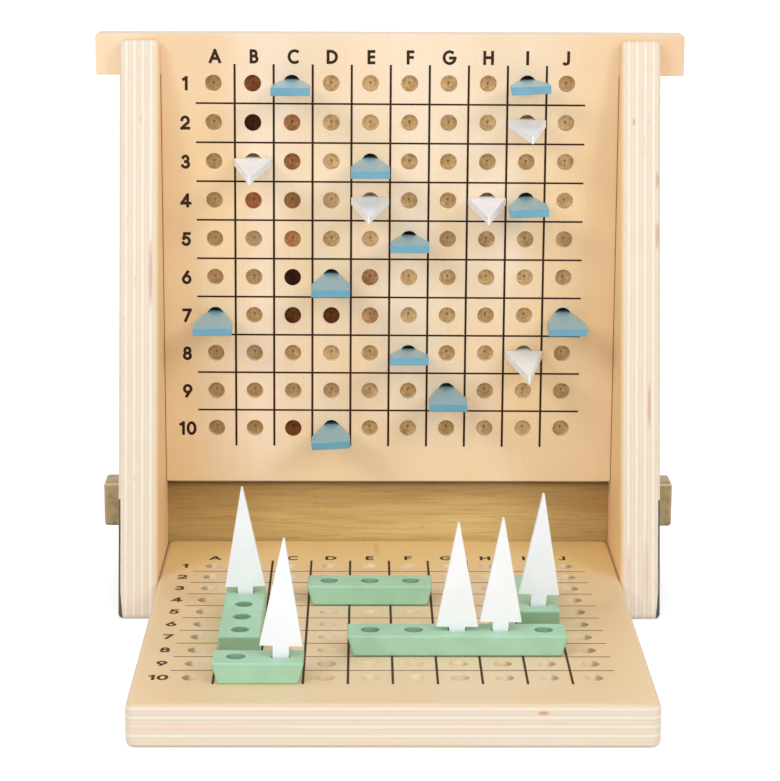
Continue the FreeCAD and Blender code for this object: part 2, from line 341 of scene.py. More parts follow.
class Recipe:
    """A material under construction: each method adds nodes and returns their output."""

    def __init__(self, name, roughness, specular):
        self.material = bpy.data.materials.new(name)
        self.material.use_nodes = True
        self.tree = self.material.node_tree
        self.shader = self.tree.nodes["Principled BSDF"]
        self.shader.inputs["Roughness"].default_value = roughness
        self.shader.inputs["Specular IOR Level"].default_value = specular
        coordinates = self.tree.nodes.new("ShaderNodeTexCoord")
        self.place = coordinates.outputs["Object"]
        self.along = self.split(self.place)
        self.normal = self.split(coordinates.outputs["Normal"])

    def split(self, vector):
        """A vector's parts along X, Y and Z."""
        node = self.tree.nodes.new("ShaderNodeSeparateXYZ")
        self.tree.links.new(vector, node.inputs[0])
        return dict(zip("XYZ", node.outputs))

    def feed(self, socket, value):
        """Set an input to a plain value, or link it to another node's output."""
        if isinstance(value, bpy.types.NodeSocket):
            self.tree.links.new(value, socket)
        else:
            socket.default_value = value

    def math(self, operation, first, second=0.0, third=0.0):
        """One sum on plain numbers or outputs."""
        node = self.tree.nodes.new("ShaderNodeMath")
        node.operation = operation
        for socket, value in zip(node.inputs, (first, second, third)):
            self.feed(socket, value)
        return node.outputs[0]

    def times(self, first, second):
        return self.math("MULTIPLY", first, second)

    def off(self, value, middle):
        """Distance of a value from a middle."""
        return self.math("ABSOLUTE", self.math("SUBTRACT", value, middle))

    def ease(self, value, start, end):
        """0 before start, 1 after end, smooth between; start may be the larger."""
        node = self.tree.nodes.new("ShaderNodeMapRange")
        node.interpolation_type = "SMOOTHSTEP"
        self.feed(node.inputs["Value"], value)
        node.inputs["From Min"].default_value = min(start, end)
        node.inputs["From Max"].default_value = max(start, end)
        node.inputs["To Min"].default_value = 1.0 if start > end else 0.0
        node.inputs["To Max"].default_value = 0.0 if start > end else 1.0
        return node.outputs["Result"]

    def mixed(self, kind, sockets, share, first, second):
        """Mix of one kind of data, with the places of that kind's sockets on the node."""
        node = self.tree.nodes.new("ShaderNodeMix")
        node.data_type = kind
        first_input, second_input, output = sockets
        self.feed(node.inputs[0], share)
        self.feed(node.inputs[first_input], first)
        self.feed(node.inputs[second_input], second)
        return node.outputs[output]

    def mix(self, share, first, second):
        """Colour between two colours."""
        return self.mixed("RGBA", MIX_COLOURS, share, first, second)

    def blend(self, share, first, second):
        """Plain number between two numbers."""
        return self.mixed("FLOAT", MIX_NUMBERS, share, first, second)

    def tones(self, share, light, deep):
        """Colour between two 8-bit screen colours."""
        return self.mix(share, tint(*light), tint(*deep))

    def stain(self, colour, share, strength, other):
        """Colour moved towards an 8-bit screen colour by a share times a strength."""
        return self.mix(self.times(share, strength), colour, tint(*other))

    def patch(self, bounds):
        """1 inside a ragged round patch; bounds gives its middle and half size along some axes."""
        total = self.times(self.noise(700, shift=14.2), PATCH_RAGGED)
        for axis, (middle, half) in bounds.items():
            off = self.math("DIVIDE", self.math("SUBTRACT", self.along[axis], middle), half)
            total = self.math("MULTIPLY_ADD", off, off, total)
        return self.ease(total, *PATCH_FADE)

    def tint_patches(self, colour, tint_patches):
        """Colour with tinted patches, painted light and shade among them: bounds, strength and 8-bit colour.
        """
        for bounds, strength, other in tint_patches:
            colour = self.stain(colour, self.patch(bounds), strength, other)
        return colour

    def noise(self, waves, detail=3.0, shift=0.0):
        """Noise with its number of waves per metre, the same all ways or one each along X, Y and Z."""
        mapping = self.tree.nodes.new("ShaderNodeMapping")
        mapping.inputs["Scale"].default_value = waves if isinstance(waves, tuple) else (waves,) * 3
        mapping.inputs["Location"].default_value = [shift * way for way in NOISE_SHIFT]
        self.tree.links.new(self.place, mapping.inputs["Vector"])
        node = self.tree.nodes.new("ShaderNodeTexNoise")
        node.inputs["Scale"].default_value = 1.0
        node.inputs["Detail"].default_value = detail
        node.inputs["Roughness"].default_value = NOISE_ROUGHNESS
        self.tree.links.new(mapping.outputs[0], node.inputs["Vector"])
        return node.outputs["Fac"]

    def grain(self, axis, along, across, detail, shift):
        """Noise drawn out along one axis, with its waves per metre along and across that axis."""
        waves = tuple(along if name == axis else across for name in "XYZ")
        return self.noise(waves, detail, shift)

    def chance(self, first, second):
        """A fixed random number for each pair of whole numbers."""
        join = self.tree.nodes.new("ShaderNodeCombineXYZ")
        self.feed(join.inputs[0], first)
        self.feed(join.inputs[1], second)
        node = self.tree.nodes.new("ShaderNodeTexWhiteNoise")
        self.tree.links.new(join.outputs[0], node.inputs["Vector"])
        return node.outputs["Value"]

    def finish(self, colour, height, relief, roughness=None):
        """Wire up the colour, the fine relief and, where it varies, the roughness."""
        self.tree.links.new(colour, self.shader.inputs["Base Color"])
        if roughness is not None:
            self.tree.links.new(roughness, self.shader.inputs["Roughness"])
        bump = self.tree.nodes.new("ShaderNodeBump")
        bump.inputs["Strength"].default_value = 1.0
        bump.inputs["Distance"].default_value = relief
        self.tree.links.new(height, bump.inputs["Height"])
        self.tree.links.new(bump.outputs[0], self.shader.inputs["Normal"])
        return self.material


class Board:
    """One drilled board: the middle of cell A1 on its face, and the ways right, down and out."""

    def __init__(self, body, first, down, out, along_axis, marks_askew):
        self.body = body
        self.marks_askew = marks_askew
        self.along_axis = along_axis
        self.first = first
        self.right = Vector((1, 0, 0))
        self.down = down
        self.out = out

    def at(self, across, along, rise):
        """Point at a distance across and along the grid from A1, and out of the face."""
        return self.first + self.right * across + self.down * along + self.out * rise

    def marked(self, across, along, rise):
        """The same for a burnt mark, which may not be set quite square to the drilled grid."""
        if not self.marks_askew:
            return self.at(across, along, rise)
        middle = MIDDLE * PITCH
        x = (across - middle) * PRINT_SPREAD
        y = along - middle
        turned_x = x * math.cos(PRINT_TURN) - y * math.sin(PRINT_TURN)
        turned_y = x * math.sin(PRINT_TURN) + y * math.cos(PRINT_TURN)
        return self.at(middle + turned_x, middle + turned_y + PRINT_DROP, rise)

    def cell(self, name):
        """Distances across and along the grid from A1 to a cell."""
        return COLUMNS.index(name[0]) * PITCH, (int(name[1:]) - 1) * PITCH


target_low, target_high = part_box("target_board")
ocean_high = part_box("ocean_board")[1]
target_a1 = Vector(mounts["target_socket"]["pos_m"])
target_a1.y = target_low.y
ocean_a1 = Vector(mounts["ocean_socket"]["pos_m"]) + Vector((-1, 1, 0)) * (CELLS - 1) * PITCH
ocean_a1.z = ocean_high.z
target = Board("target_board", target_a1, Vector((0, 0, -1)), Vector((0, -1, 0)), "Z", True)
ocean = Board("ocean_board", ocean_a1, Vector((0, -1, 0)), Vector((0, 0, 1)), "Y", False)


def plies(recipe, layer_axis, middle, grain_axis, cross_axis):
    """Colour and relief of a plywood edge; middle is the middle of one of its thin pale plies."""
    wander = recipe.noise(14, detail=2.0, shift=3.1)
    offset = recipe.math("SUBTRACT", recipe.along[layer_axis], middle + PLY_WANDER / 2)
    stack = recipe.math("DIVIDE", recipe.math("MULTIPLY_ADD", wander, PLY_WANDER, offset), PLY_PERIOD)
    off_pale = recipe.off(stack, recipe.math("ROUND", stack))
    fibre = recipe.grain(grain_axis, 26, 1500, detail=4.0, shift=1.3)
    end_grain = recipe.grain(cross_axis, 26, 1500, detail=4.0, shift=7.9)
    warmth = recipe.grain(grain_axis, 13, 330, detail=2.0, shift=4.4)
    dash = recipe.grain(grain_axis, 48, 460, detail=2.0, shift=11.0)
    pale = recipe.ease(off_pale, PALE_HALF + PLY_SOFT, PALE_HALF - PLY_SOFT)
    ply = recipe.tones(recipe.ease(warmth, 0.38, 0.64), GREY_PLY, PINK_PLY)
    ply = recipe.stain(ply, recipe.ease(off_pale, 0.40, 0.49), *PLY_SEAM)
    ply = recipe.stain(ply, pale, *PALE_LAYER)
    ply = recipe.stain(ply, recipe.ease(fibre, 0.46, 0.72), *PLY_FIBRE)
    ply = recipe.stain(ply, recipe.ease(dash, 0.68, 0.80), *PLY_DASH)
    return ply, recipe.blend(pale, fibre, end_grain)


def veneer(recipe, grain_axis, light, warm, margin_shade=0.0):
    """Colour and relief of the rotary-cut birch on a board's face, warmer and darker where the painted shade
    of the margin falls.
    """
    broad = recipe.grain(grain_axis, 7, 46, detail=4.0, shift=2.2)
    cloud = recipe.noise(17, shift=5.5)
    fibre = recipe.grain(grain_axis, 42, 1300, detail=4.0, shift=9.1)
    pore = recipe.grain(grain_axis, 240, 2600, detail=1.0, shift=4.7)
    share = recipe.math("ADD", recipe.math("ADD", broad, cloud), margin_shade)
    colour = recipe.tones(recipe.ease(share, 0.75, 1.45), light, warm)
    colour = recipe.stain(colour, recipe.ease(fibre, 0.44, 0.76), *VENEER_FIBRE)
    colour = recipe.stain(colour, recipe.ease(pore, 0.70, 0.82), *VENEER_PORE)
    return colour, fibre


def outer_coat(recipe, colour, from_outer):
    """Dark grey-green paint on the lower outer face, which just turns the rounded edge."""
    ragged = recipe.noise(420, detail=2.0, shift=6.6)
    inset = recipe.math("MULTIPLY_ADD", ragged, -COAT_SIDE_WAVER, from_outer)
    rise = recipe.math("MULTIPLY_ADD", ragged, COAT_TOP_WAVER, recipe.along["Z"])
    foot = recipe.ease(recipe.along["Z"], COAT_FOOT_HEIGHT, 0.0)
    inset = recipe.math("MULTIPLY_ADD", foot, COAT_TURN - COAT_FOOT_TURN, inset)
    side = recipe.ease(inset, COAT_TURN + COAT_SIDE_SOFT, COAT_TURN - COAT_SIDE_SOFT)
    coat = recipe.times(side, recipe.ease(rise, COAT_TOP + COAT_TOP_SOFT, COAT_TOP))
    return recipe.mix(coat, colour, recipe.tones(recipe.noise(60, shift=8.8), *COAT_TINTS))


def panel_plywood(node, side):
    """Side panel: plies across its thickness, grain upright, resin streaks on its front edge."""
    low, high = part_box(node)
    inner_x = high.x if side < 0 else low.x
    outer_x = low.x if side < 0 else high.x
    recipe = Recipe(f"{node}_plywood", *PANEL_VARNISH)
    edge, edge_fibre = plies(recipe, "X", (low.x + high.x + PLY_PERIOD) / 2, "Z", "Y")
    to_front = recipe.ease(recipe.normal["Y"], -0.2, -0.6)
    for depth, rise, half_width, half_length, strength in STREAKS[node]:
        spot = recipe.patch({"X": (inner_x + side * depth, half_width), "Z": (rise, half_length)})
        edge = recipe.stain(edge, recipe.times(spot, to_front), strength, STREAK_TINT)
    face, face_fibre = veneer(recipe, "Z", *PANEL_VENEER)
    from_outer = recipe.off(recipe.along["X"], outer_x)
    inner_skin = recipe.ease(recipe.off(recipe.along["X"], inner_x), EASED_SKIN, FACE_SKIN)
    outer_skin = recipe.ease(from_outer, 2 * FACE_SKIN, FACE_SKIN)
    skin = recipe.math("MAXIMUM", inner_skin, outer_skin)
    colour = outer_coat(recipe, recipe.mix(skin, edge, face), from_outer)
    return recipe.finish(colour, recipe.blend(skin, edge_fibre, face_fibre), PLYWOOD_RELIEF)


def nearest_socket(recipe, board):
    """Ways from the middle of the nearest cell, across and along the grid, and that cell's numbers."""
    offsets = []
    places = []
    for axis in ("X", board.along_axis):
        first = board.first["XYZ".index(axis)]
        steps = recipe.math("DIVIDE", recipe.math("SUBTRACT", recipe.along[axis], first), PITCH)
        nearest = recipe.math("ROUND", steps)
        places.append(nearest)
        offsets.append(recipe.times(recipe.math("SUBTRACT", steps, nearest), PITCH))
    return offsets, places


def distance(recipe, offsets):
    """Length of the way given by two offsets."""
    squares = [recipe.times(offset, offset) for offset in offsets]
    return recipe.math("SQRT", recipe.math("ADD", *squares))


def inside_grid(recipe, board):
    """1 over the drilled cells, 0 on the margins."""
    middle = board.at(MIDDLE * PITCH, MIDDLE * PITCH, 0)
    edge = MIDDLE * PITCH + SOCKET_RADIUS
    outside, within = GRID_FADE
    inside = []
    for axis in ("X", board.along_axis):
        off = recipe.off(recipe.along[axis], middle["XYZ".index(axis)])
        inside.append(recipe.ease(off, edge + outside, edge + within))
    return recipe.times(*inside)


def board_plywood(node, board, layer_axis, grain_axis, light, warm, face_light_and_marks, edge_marks=(), wall_shade=0.0):
    """Drilled board: veneered faces, plies on its edges, raw drilled wood in its sockets."""
    low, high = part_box(node)
    layer = "XYZ".index(layer_axis)
    cross_axis = (set("XYZ") - {layer_axis, grain_axis}).pop()
    middle = (low[layer] + high[layer]) / 2
    half = (high[layer] - low[layer]) / 2
    recipe = Recipe(f"{node}_plywood", *BOARD_VARNISH)
    edge, edge_fibre = plies(recipe, layer_axis, middle, grain_axis, cross_axis)
    edge = recipe.tint_patches(edge, edge_marks)
    off_centre = recipe.math("ABSOLUTE", recipe.along["X"])
    # Painted shade: warmer and darker towards the side panels, and none on the ears
    margin_shade = recipe.times(recipe.ease(off_centre, *MARGIN_SHADE), MARGIN_SHADE_SHARE)
    margin_shade = recipe.times(margin_shade, recipe.ease(off_centre, *UNSHADED_EARS))
    face, face_fibre = veneer(recipe, grain_axis, light, warm, margin_shade)
    # Patches on the face, painted light and shade among them
    face = recipe.tint_patches(face, face_light_and_marks)
    from_middle = recipe.math("SUBTRACT", recipe.along[layer_axis], middle)
    way_out = recipe.times(from_middle, board.out[layer])
    off_middle = recipe.math("ABSOLUTE", way_out)
    skin = recipe.ease(off_middle, half - 2 * FACE_SKIN, half - FACE_SKIN / 2)

    offsets, places = nearest_socket(recipe, board)
    radius = distance(recipe, offsets)
    in_grid = recipe.times(inside_grid(recipe, board), recipe.ease(way_out, 0.0, half / 4))
    drilled = recipe.times(in_grid, recipe.ease(radius, SOCKET_RADIUS + WALL_SOFT, SOCKET_RADIUS))
    sunk = recipe.times(drilled, recipe.ease(off_middle, half - MOUTH_SOFT, half - FACE_SKIN))
    raw = recipe.tones(recipe.chance(*places), RAW_WALL, RAW_WALL_DEEP)
    raw = recipe.stain(raw, recipe.ease(edge_fibre, 0.38, 0.75), *WALL_FIBRE)
    # Painted shade on the walls' outer ends, stronger towards the outer columns
    shaded_end = recipe.ease(recipe.times(recipe.normal["X"], recipe.along["X"]), *SHADED_WALL_END)
    raw = recipe.stain(raw, shaded_end, wall_shade, WALL_SHADE_TINT)

    chip = recipe.noise(520, shift=12.5)
    rim = recipe.times(recipe.ease(radius, SOCKET_RADIUS + RIM_WIDTH, SOCKET_RADIUS), in_grid)
    chips = recipe.ease(recipe.times(rim, chip), 0.36, 0.46)
    face = recipe.stain(face, chips, *RIM_CHIP)

    outermost = recipe.ease(off_middle, half - OUTER_PLY, half - OUTER_PLY / 2)
    edge = recipe.stain(edge, outermost, *OUTER_LAYER)
    # Painted shade: the edges that face upwards darker
    edge = recipe.stain(edge, recipe.ease(recipe.normal["Z"], 0.5, 0.9), *UP_EDGE_SHADE)
    colour = recipe.mix(sunk, recipe.mix(skin, edge, face), raw)
    height = recipe.blend(skin, edge_fibre, face_fibre)
    height = recipe.math("MULTIPLY_ADD", chips, -CHIP_DEPTH, height)
    roughness = recipe.blend(skin, RAW_ROUGHNESS, BOARD_VARNISH[0])
    return recipe.finish(colour, height, PLYWOOD_RELIEF, roughness)


def rail_hardwood():
    """Olive-brown hardwood, grain along the rail, painted shade under the board and towards the panels,
    painted reflection and highlight on the tenons.
    """
    recipe = Recipe("rail_hardwood_look", *RAIL_OIL)
    band = recipe.grain("X", 9, 95, detail=4.0, shift=1.1)
    fibre = recipe.grain("X", 55, 1400, detail=4.0, shift=3.3)
    pore = recipe.grain("X", 210, 2300, detail=1.5, shift=5.7)
    fiddle = recipe.noise((330, 60, 110), detail=2.0, shift=8.2)
    blotch = recipe.noise(260, shift=6.9)
    off_centre = recipe.math("ABSOLUTE", recipe.along["X"])
    tenon = recipe.ease(off_centre, *TENON_START)
    between = recipe.ease(off_centre, *reversed(TENON_START))
    top = recipe.ease(recipe.normal["Z"], 0.8, 0.95)
    # Painted highlight on the tenons' rounded arrises
    arris_highlight = recipe.ease(recipe.off(recipe.normal["Z"], 0.6), 0.2, 0.08)
    under_board = recipe.ease(recipe.along["Y"], target_high.y, target_high.y - BOARD_SHADE)
    shaded = recipe.times(top, recipe.times(under_board, between))
    rail_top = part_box("cross_rail")[1].z
    # Painted shade in an upper band under the target board
    upper = recipe.ease(recipe.along["Z"], *(rail_top - depth for depth in UPPER_SHADE_BAND))
    pores = recipe.ease(pore, 0.66, 0.76)
    colour = recipe.tones(recipe.ease(band, 0.32, 0.68), *RAIL_WOOD)
    for share, stain in (
        (recipe.ease(fibre, 0.42, 0.72), RAIL_FIBRE),
        (recipe.ease(fiddle, 0.56, 0.78), RAIL_FIDDLE),
        # painted shade towards the side panels
        (recipe.ease(off_centre, *SHADED_RAIL_ENDS), RAIL_END_SHADE),
        (tenon, TENON_WOOD),
        (recipe.times(tenon, recipe.ease(blotch, 0.42, 0.68)), TENON_BLOTCH),
        # painted reflection: tenon tops greyer and darker
        (recipe.times(tenon, top), TENON_TOP_REFLECTION),
        # painted highlight on the tenons' arrises
        (recipe.times(tenon, arris_highlight), TENON_ARRIS_HIGHLIGHT),
        # painted shade on the top under the target board
        (shaded, RAIL_UNDER_BOARD),
        # painted shade in the upper band
        (recipe.times(between, upper), RAIL_UPPER_SHADE),
        (pores, RAIL_PORE),
    ):
        colour = recipe.stain(colour, share, *stain)
    return recipe.finish(colour, recipe.math("SUBTRACT", fibre, pores), RAIL_RELIEF)


def painted_wood(name, light, deep, grain_axis, finish):
    """Thin paint on wood: soft mottling, with the grain just showing through."""
    recipe = Recipe(name, *finish)
    cloud = recipe.noise(95, detail=4.0, shift=2.9)
    fibre = recipe.grain(grain_axis, 70, 1500, detail=3.0, shift=6.1)
    grit = recipe.noise(2600, detail=1.0, shift=3.8)
    colour = recipe.tones(recipe.ease(cloud, 0.30, 0.70), light, deep)
    colour = recipe.stain(colour, recipe.ease(fibre, 0.50, 0.78), PAINT_ON_GRAIN, deep)
    height = recipe.math("ADD", fibre, recipe.times(grit, PAINT_GRIT))
    return recipe, colour, height


def white_paint():
    """Matt white paint on the sails."""
    recipe, colour, height = painted_wood("white_paint_look", *WHITE_PAINT, "Z", MATT_PAINT)
    return recipe.finish(colour, height, PAINT_RELIEF)


def blue_paint():
    """Sea-blue gloss on the markers, paler on the faces that lie upwards: painted sheen."""
    recipe, colour, height = painted_wood("blue_paint_look", *BLUE_PAINT, "Y", GLOSS_PAINT)
    # Painted sheen: a pale reflection of the wood on the faces that lie upwards
    colour = recipe.stain(colour, recipe.ease(recipe.normal["Z"], 0.55, 0.9), *BLUE_TOP_SHEEN)
    return recipe.finish(colour, height, PAINT_RELIEF)


def green_stain(name, grain_axis):
    """Mint stain on the ships, deeper on the end grain, with painted shade in the sockets."""
    recipe, colour, height = painted_wood(name, *GREEN_STAIN, grain_axis, MATT_PAINT)
    end_grain = recipe.ease(recipe.math("ABSOLUTE", recipe.normal[grain_axis]), 0.5, 0.85)
    colour = recipe.stain(colour, end_grain, *GREEN_END_GRAIN)
    offsets = nearest_socket(recipe, ocean)[0]
    bored = recipe.ease(distance(recipe, offsets), *(SOCKET_RADIUS + soft for soft in BORE_SOFT))
    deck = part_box("ship_five")[1].z
    below_deck = recipe.ease(recipe.along["Z"], *(deck - soft for soft in DECK_SOFT))
    # Painted shade in the sockets below the deck
    colour = recipe.stain(colour, recipe.times(bored, below_deck), *GREEN_SOCKET_SHADE)
    return recipe.finish(colour, height, PAINT_RELIEF)


def dowel_beech():
    """Beech dowels under the ships: the paint of the ship's sockets covers their tops."""
    recipe, paint, height = painted_wood("dowel_beech_look", *PAINTED_DOWEL, "Z", DOWEL_PAINT)
    fibre = recipe.grain("Z", 60, 1600, detail=4.0, shift=4.4)
    wood = recipe.tones(recipe.ease(fibre, 0.35, 0.70), *BEECH)
    above = recipe.ease(recipe.along["Z"], ocean_high.z, ocean_high.z + DOWEL_PAINT_EDGE)
    return recipe.finish(recipe.mix(above, wood, paint), height, PAINT_RELIEF)


def burnt_mark(name, dark, light):
    """Marks burnt into the wood: dark brown, a little lighter where the beam ran fast."""
    recipe = Recipe(name, *CHARRED_WOOD)
    speck = recipe.noise(900, shift=1.9)
    fast = recipe.noise(120, detail=2.0, shift=7.3)
    colour = recipe.tones(recipe.ease(speck, 0.35, 0.72), dark, light)
    paler = tuple(value * FAST_RUN for value in light)
    colour = recipe.stain(colour, recipe.ease(fast, 0.5, 0.8), FAST_RUN_SHARE, paler)
    return recipe.finish(colour, speck, BURNT_RELIEF)


def socket_wood(name, board, light, deep, shaded_towards_a=False):
    """Wood on the floors of sockets: each its own tone, with a dark pit, a ring and a dark line down from
    the pit.
    """
    recipe = Recipe(name, *DRILLED_WOOD)
    speck = recipe.noise(900, shift=2.4)
    patch = recipe.noise(300, detail=2.0, shift=9.4)
    offsets, places = nearest_socket(recipe, board)
    mottle = recipe.math("ADD", speck, patch)
    share = recipe.math("MULTIPLY_ADD", recipe.chance(*places), OWN_TONE, mottle)
    colour = recipe.tones(recipe.ease(share, 1.0, 1.45), light, deep)
    dark = tuple(value * DRILL_DARK for value in deep)
    radius = distance(recipe, offsets)
    ring_off = recipe.off(radius, RING_RADIUS)
    worn_ring = recipe.times(recipe.ease(ring_off, *RING_SOFT), recipe.ease(speck, 0.40, 0.60))
    colour = recipe.stain(colour, worn_ring, RING_SHOWS, dark)
    colour = recipe.stain(colour, recipe.ease(radius, PIT_RADIUS + PIT_SOFT, PIT_RADIUS), PIT_SHOWS, dark)
    # A dark line down from the pit
    bend = recipe.noise(260, detail=2.0, shift=5.1)
    bent = recipe.math("MULTIPLY_ADD", bend, DOWNLINE_BEND, recipe.math("SUBTRACT", offsets[0], DOWNLINE_BEND / 2))
    downline = recipe.ease(recipe.math("ABSOLUTE", bent), 2 * DOWNLINE_HALF, DOWNLINE_HALF / 2)
    below = recipe.ease(offsets[1], -DOWNLINE_LENGTH, -DOWNLINE_LENGTH / 2)
    above = recipe.ease(offsets[1], PIT_RADIUS, 0.0)
    colour = recipe.stain(colour, recipe.times(downline, recipe.times(below, above)), DOWNLINE_SHOWS, dark)
    # Painted shade of the left side panel: darker and browner towards column A
    if shaded_towards_a:
        colour = recipe.stain(colour, recipe.ease(places[0], *SHADED_COLUMNS), *PANEL_SHADE_FLOOR)
    return recipe.finish(colour, speck, FLOOR_RELIEF)


def new_piece(name, mesh_maker, material, body):
    """Mesh piece filled in by a function, riding on a body."""
    mesh = bpy.data.meshes.new(name)
    build = bmesh.new()
    mesh_maker(build)
    bmesh.ops.recalc_face_normals(build, faces=build.faces)
    build.to_mesh(mesh)
    build.free()
    piece = bpy.data.objects.new(name, mesh)
    bpy.context.scene.collection.objects.link(piece)
    mesh.materials.append(material)
    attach(piece, body)


def ribbon(build, board, points, width, proud, closed=False):
    """Flat stroke of one width along points on a board's face, as a thin closed solid."""
    count = len(points)
    ribs = []
    for step, point in enumerate(points):
        before = points[step - 1] if step > 0 or closed else point
        after = points[(step + 1) % count] if step < count - 1 or closed else point
        run = (Vector(after) - Vector(before)).normalized()
        side = Vector((-run.y, run.x)) * width / 2
        rib = []
        for sign in (1, -1):
            spot = Vector(point) + side * sign
            rib.append(build.verts.new(board.marked(spot.x, spot.y, proud)))
            rib.append(build.verts.new(board.marked(spot.x, spot.y, -MARK_ROOT)))
        ribs.append(rib)
    pairs = list(zip(ribs, ribs[1:] + ribs[:1]))
    for (top_a, low_a, top_b, low_b), (top_c, low_c, top_d, low_d) in (pairs if closed else pairs[:-1]):
        build.faces.new((top_a, top_c, top_d, top_b))
        build.faces.new((low_a, low_b, low_d, low_c))
        build.faces.new((top_a, low_a, low_c, top_c))
        build.faces.new((top_b, top_d, low_d, low_b))
    if not closed:
        for top_a, low_a, top_b, low_b in (ribs[0], ribs[-1]):
            build.faces.new((top_a, top_b, low_b, low_a))


def arc(centre_x, centre_y, radius_x, radius_y, start, end, steps=16):
    """Points along an ellipse from one angle to another, in degrees."""
    points = []
    for step in range(steps + 1):
        angle = math.radians(start + (end - start) * step / steps)
        points.append((centre_x + radius_x * math.cos(angle), centre_y + radius_y * math.sin(angle)))
    return points


def ring(centre_x, centre_y, radius_x, radius_y):
    """Points once round an ellipse, which the stroke then closes."""
    return arc(centre_x, centre_y, radius_x, radius_y, 0, 360 - 360 / RING_STEPS, RING_STEPS - 1)


# Middle lines of a plain geometric alphabet: open strokes, then closed rings, one unit tall
GLYPHS = {
    "A": ([[(0, 0), (0.42, 1)], [(0.42, 1), (0.84, 0)], [(0.18, 0.3), (0.66, 0.3)]], []),
    "B": ([
        [(0, 0), (0, 1)],
        [(0, 1), (0.22, 1)] + arc(0.22, 0.765, 0.24, 0.235, 80, -80, 9) + [(0.22, 0.53), (0, 0.53)],
        [(0.22, 0.53)] + arc(0.26, 0.265, 0.28, 0.265, 80, -80, 9) + [(0.24, 0), (0, 0)],
    ], []),
    "C": ([arc(0.5, 0.5, 0.5, 0.53, 60, 300)], []),
    "D": ([
        [(0, 0), (0, 1)],
        [(0, 1), (0.24, 1)] + arc(0.24, 0.5, 0.52, 0.5, 82, -82, 12) + [(0.24, 0), (0, 0)],
    ], []),
    "E": ([[(0, 0), (0, 1)], [(0, 1), (0.44, 1)], [(0, 0.52), (0.42, 0.52)], [(0, 0), (0.44, 0)]], []),
    "F": ([[(0, 0), (0, 1)], [(0, 1), (0.42, 1)], [(0, 0.5), (0.38, 0.5)]], []),
    "G": ([arc(0.5, 0.5, 0.5, 0.53, 60, 352), [(0.98, 0.47), (0.58, 0.47)]], []),
    "H": ([[(0, 0), (0, 1)], [(0.7, 0), (0.7, 1)], [(0, 0.52), (0.7, 0.52)]], []),
    "I": ([[(0, 0), (0, 1)]], []),
    "J": ([[(0.34, 1), (0.34, 0.3)] + arc(0.1, 0.22, 0.24, 0.24, 0, -125, 9)], []),
    "0": ([], [ring(0.33, 0.5, 0.33, 0.52)]),
    "1": ([[(0.24, 0), (0.24, 1)], [(0, 0.86), (0.24, 1)]], []),
    "2": ([arc(0.3, 0.7, 0.3, 0.31, 170, -38, 12), [(0.536, 0.51), (0, 0)], [(0, 0), (0.62, 0)]], []),
    "3": ([arc(0.26, 0.75, 0.24, 0.26, 155, -85, 12), arc(0.26, 0.25, 0.29, 0.27, 88, -155, 12)], []),
    "4": ([[(0, 0.25), (0.74, 0.25)], [(0, 0.25), (0.5, 1)], [(0.52, 1), (0.52, 0)]], []),
    "5": ([
        [(0.14, 1), (0.56, 1)],
        [(0.14, 1), (0.06, 0.54)],
        arc(0.27, 0.31, 0.31, 0.33, 132, -150, 12),
    ], []),
    "6": ([[(0.42, 1), (0.05, 0.46)]], [ring(0.32, 0.31, 0.31, 0.32)]),
    "7": ([[(0, 1), (0.6, 1)], [(0.6, 1), (0.16, 0)]], []),
    "8": ([], [ring(0.3, 0.75, 0.24, 0.25), ring(0.3, 0.25, 0.29, 0.27)]),
    "9": ([[(0.22, 0), (0.59, 0.54)]], [ring(0.32, 0.69, 0.31, 0.32)]),
}


def squared(points, reach):
    """Open stroke lengthened at both ends, so that its square ends reach the letter's outline."""
    first = Vector(points[0])
    last = Vector(points[-1])
    out_first = (first - Vector(points[1])).normalized() * reach
    out_last = (last - Vector(points[-2])).normalized() * reach
    return [tuple(first + out_first)] + list(points[1:-1]) + [tuple(last + out_last)]


def glyph_width(sign):
    """Reach of a sign's middle lines to the right."""
    strokes, rings = GLYPHS[sign]
    return max(x for stroke in strokes + rings for x, y in stroke)


def write(build, board, text, middle_across, middle_along):
    """Word centred on a point of a board's face, upright towards row 1."""
    unit = CAP_HEIGHT * (1 - STROKE)
    width = STROKE * CAP_HEIGHT
    total = sum(glyph_width(sign) for sign in text) + GLYPH_GAP * (len(text) - 1)
    start = middle_across - total * unit / 2
    layer = 0
    for sign in text:
        strokes, rings = GLYPHS[sign]
        for points, closed in [(stroke, False) for stroke in strokes] + [(loop, True) for loop in rings]:
            spots = [(start + x * unit, middle_along + (0.5 - y) * unit) for x, y in points]
            if not closed:
                spots = squared(spots, width / 2)
            ribbon(build, board, spots, width, MARK_PROUD + MARK_STEP * layer, closed)
            layer += 1
        start += (glyph_width(sign) + GLYPH_GAP) * unit


def grid_lines(board, level_width):
    """Burnt lines between the cells, each about as long as the ten cells together."""
    def fill(build):
        near = -PITCH / 2
        far = (CELLS - 0.5) * PITCH
        for step in range(1, CELLS):
            line = (step - 0.5) * PITCH
            upright = [(line, near), (line, far - LINE_TAIL)]
            ribbon(build, board, upright, UPRIGHT_LINE, MARK_PROUD)
            ribbon(build, board, [(near, line), (far, line)], level_width, MARK_PROUD + MARK_STEP)
    return fill


def words(board, entries):
    """Burnt words, each with its place across and along the grid."""
    def fill(build):
        for text, across, along in entries:
            write(build, board, text, across, along)
    return fill


